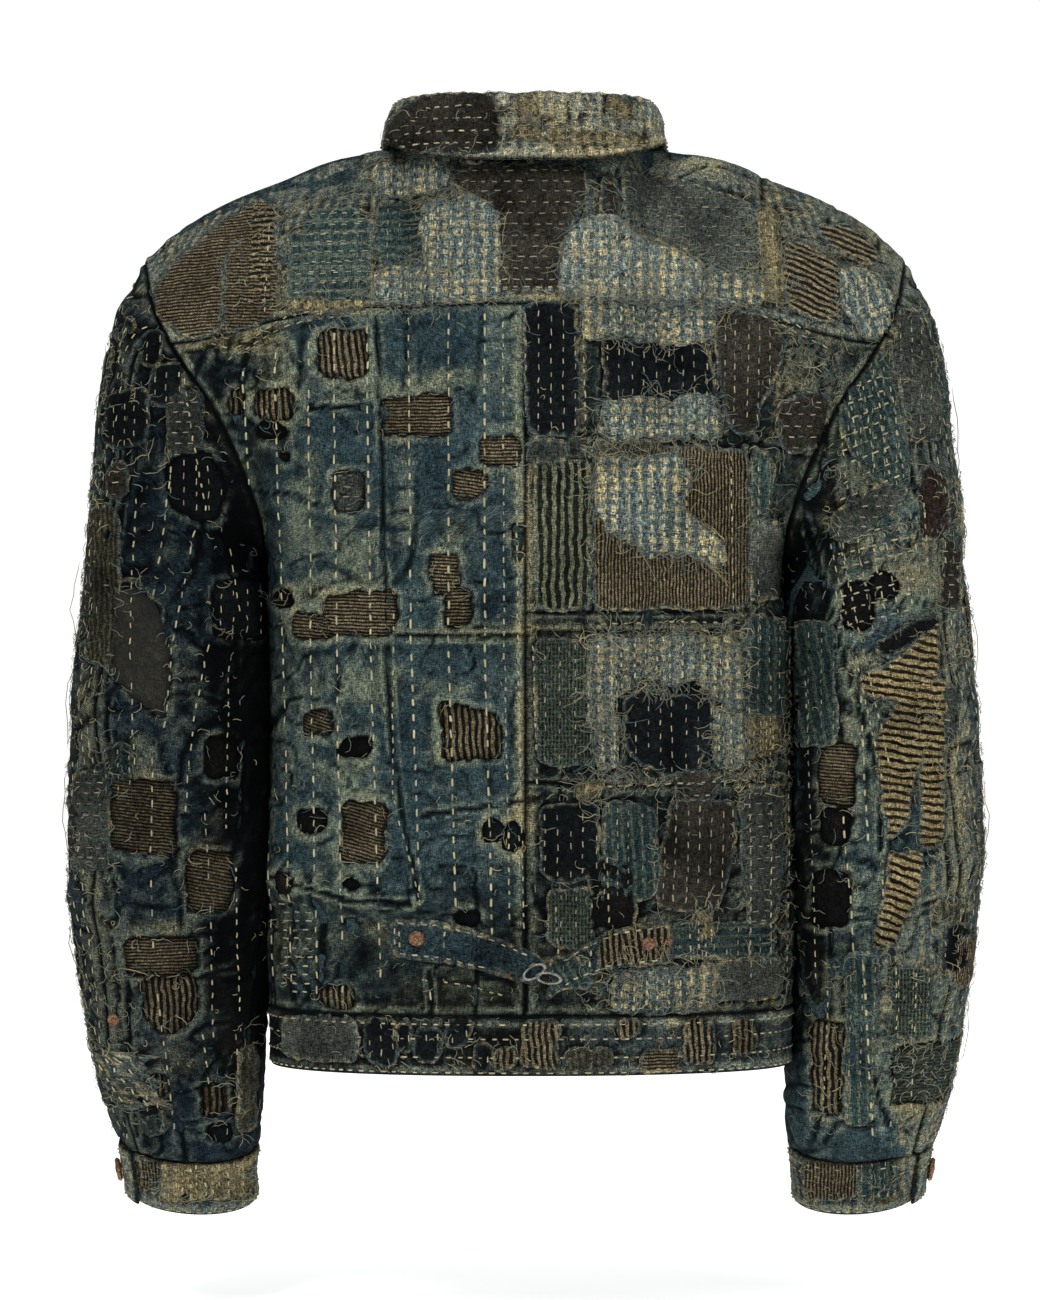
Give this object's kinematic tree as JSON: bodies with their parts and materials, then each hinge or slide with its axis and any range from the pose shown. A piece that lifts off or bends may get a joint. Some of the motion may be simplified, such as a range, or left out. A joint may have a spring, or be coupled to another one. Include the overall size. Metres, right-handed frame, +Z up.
{
  "type": "patched boro jacket, worn, hollow, seen from behind",
  "caption": "Short patched denim work jacket with a turned-down collar, split back, cinch strap and buttoned front, standing hollow as if worn.",
  "frame": {"origin": "middle of the neckline, level with the neck end of the shoulder seams, where the wearer's shoulders hold the jacket", "axes": "+Z up, -Y out of the back, +Y out of the front opening, +X towards the wearer's right sleeve"},
  "size_m": [0.628, 0.2632, 0.768],
  "materials": {
    "denim": "indigo denim, overdyed and worn, quilted with rows of running stitches, faded to tan at the wrinkles",
    "boro": "layered indigo, grey and brown cotton rags, frayed and closely stitched",
    "patch": "striped, checked and plain woven cotton rags with ragged edges",
    "copper": "dull worn copper",
    "steel": "worn nickel-plated wire"
  },
  "bodies": {
    "root": {"back_left": "denim", "back_right": "boro", "back_yoke": "boro", "front_left": "denim", "front_right": "denim", "waistband": "boro", "sleeve_left_top": "boro", "sleeve_left_under": "denim", "sleeve_right_top": "boro", "sleeve_right_under": "denim", "cuff_left": "boro", "cuff_right": "boro", "collar": "boro", "cinch_strap_left": "denim", "cinch_strap_right": "boro", "cinch_buckle": "steel", "cinch_rivet_left": "copper", "cinch_rivet_right": "copper", "cinch_rivet_small": "copper", "sleeve_rivet_left": "copper", "front_button_1": "copper", "front_button_2": "copper", "front_button_3": "copper", "front_button_4": "copper", "front_button_5": "copper", "front_button_6": "copper", "band_button": "copper", "cuff_button_left": "copper", "cuff_button_right": "copper", "patch_yoke_stripe_left": "patch", "patch_yoke_teal": "patch", "patch_yoke_brown": "patch", "patch_yoke_charcoal": "patch", "patch_yoke_stripe_right": "patch", "patch_navy_strip": "patch", "patch_navy_block": "patch", "patch_brown_top": "patch", "patch_brown_stripe": "patch", "patch_stripe_column": "patch", "patch_check_column": "patch", "patch_navy_oval": "patch", "patch_navy_low": "patch", "patch_brown_low": "patch", "patch_left_navy": "patch", "patch_left_band": "patch", "patch_right_charcoal": "patch", "patch_right_stripe": "patch"}
  },
  "joints": []
}
